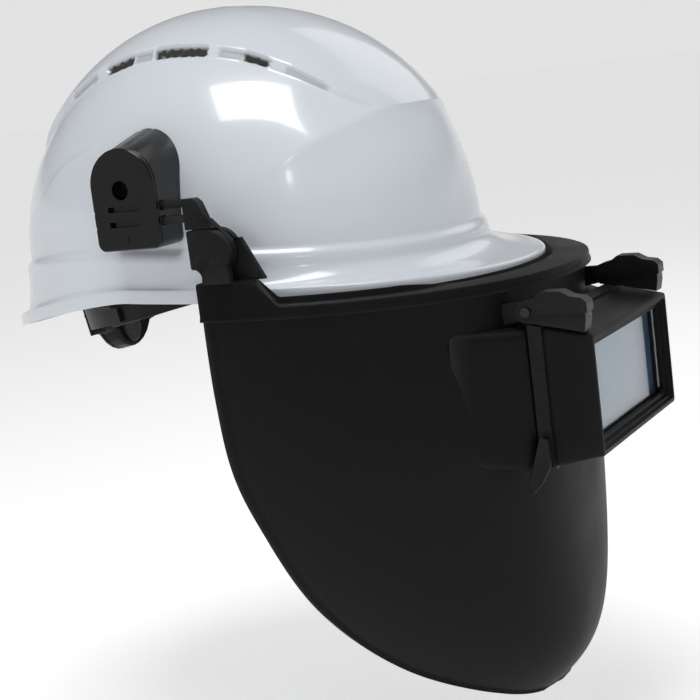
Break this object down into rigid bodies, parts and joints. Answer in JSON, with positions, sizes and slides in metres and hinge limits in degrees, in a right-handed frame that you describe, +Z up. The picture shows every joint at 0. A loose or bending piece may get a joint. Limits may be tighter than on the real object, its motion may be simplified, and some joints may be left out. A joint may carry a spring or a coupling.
{
  "type": "welding helmet",
  "caption": "Hard hat with side adapters that carry a lifting welding face shield; a flip-up lens frame hangs over its fixed window, and a ratchet harness sits inside.",
  "frame": {"origin": "middle of the head opening, level with the bottom of the rim at the temples", "axes": "+Z up, the shield faces -Y, +X to the wearer's left"},
  "size_m": [0.2586, 0.345, 0.365],
  "materials": {
    "shell_white": "glossy moulded, slightly bluish white",
    "shield_black": "fine moulded texture",
    "satin_black": "satin",
    "harness_black": "satin",
    "webbing": "woven strap",
    "foam": "foam with a cloth face",
    "steel": "plain",
    "rubber": "plain",
    "clear_plate": "clear plastic",
    "filter_glass": "tinted welding filter"
  },
  "bodies": {
    "helmet": {"helmet_shell": "shell_white", "headband": "harness_black", "sweatband": "foam", "nape_pad": "foam", "ratchet_housing": "harness_black", "ratchet_cover": "harness_black", "hanger_front_right": "harness_black", "hanger_front_left": "harness_black", "hanger_rear_right": "harness_black", "hanger_rear_left": "harness_black", "crown_strap_a": "webbing", "crown_strap_b": "webbing", "adapter_body_right": "satin_black", "adapter_cover_right": "satin_black", "adapter_screw_right": "steel", "adapter_nut_right": "steel", "adapter_body_left": "satin_black", "adapter_cover_left": "satin_black", "adapter_screw_left": "steel", "adapter_nut_left": "steel"},
    "knob": {"adjuster_knob": "harness_black", "drive_pinion": "harness_black", "knob_screw": "steel"},
    "nape_right": {"nape_strap_right": "harness_black"},
    "nape_left": {"nape_strap_left": "harness_black"},
    "arm_right": {"pivot_arm_right": "satin_black"},
    "arm_left": {"pivot_arm_left": "satin_black"},
    "shield": {"top_frame": "shield_black", "shield_body": "shield_black", "inner_clear_lens": "clear_plate", "inner_lens_retainer": "satin_black", "pivot_bolt_right": "steel", "friction_washer_right": "rubber", "pivot_bolt_left": "steel", "friction_washer_left": "rubber"},
    "flip": {"flip_frame": "shield_black", "front_cover_lens": "clear_plate", "lens_gasket": "rubber", "filter_plate": "filter_glass", "filter_spring": "steel", "hinge_arm_right": "satin_black", "hinge_pin_right": "steel", "hinge_washer_right": "steel", "hinge_arm_left": "satin_black", "hinge_pin_left": "steel", "hinge_washer_left": "steel"}
  },
  "joints": [
    {"name": "arm_slide_right", "type": "slide", "parent": "helmet", "child": "arm_right", "axis": [0, -1, 0], "range_m": [0, 0.02]},
    {"name": "arm_slide_left", "type": "slide", "parent": "helmet", "child": "arm_left", "axis": [0, -1, 0], "range_m": [0, 0.02]},
    {"name": "shield_lift", "type": "hinge", "parent": "arm_right", "child": "shield", "pos_m": [0, -0.052, 0.0225], "axis": [-1, 0, 0], "range_deg": [0, 90]},
    {"name": "flip_lift", "type": "hinge", "parent": "shield", "child": "flip", "pos_m": [0, -0.1776, -0.0233], "axis": [-1, 0, 0], "range_deg": [0, 70]},
    {"name": "knob_turn", "type": "hinge", "parent": "helmet", "child": "knob", "pos_m": [0, 0.10638, -0.01952], "axis": [0, 0.982, -0.1891], "range_deg": [-90, 90]},
    {"name": "nape_right_turn", "type": "hinge", "parent": "helmet", "child": "nape_right", "pos_m": [0, 0.018, -0.0025], "axis": [0, -0.1891, -0.982], "range_deg": [-6, 6]},
    {"name": "nape_left_turn", "type": "hinge", "parent": "helmet", "child": "nape_left", "pos_m": [0, 0.018, -0.0025], "axis": [0, 0.1891, 0.982], "range_deg": [-6, 6]}
  ],
  "couplings": [
    {"joint": "arm_slide_left", "follows": "arm_slide_right", "ratio": 1},
    {"joint": "nape_right_turn", "follows": "knob_turn", "ratio": 0.0656},
    {"joint": "nape_left_turn", "follows": "knob_turn", "ratio": 0.0656}
  ]
}
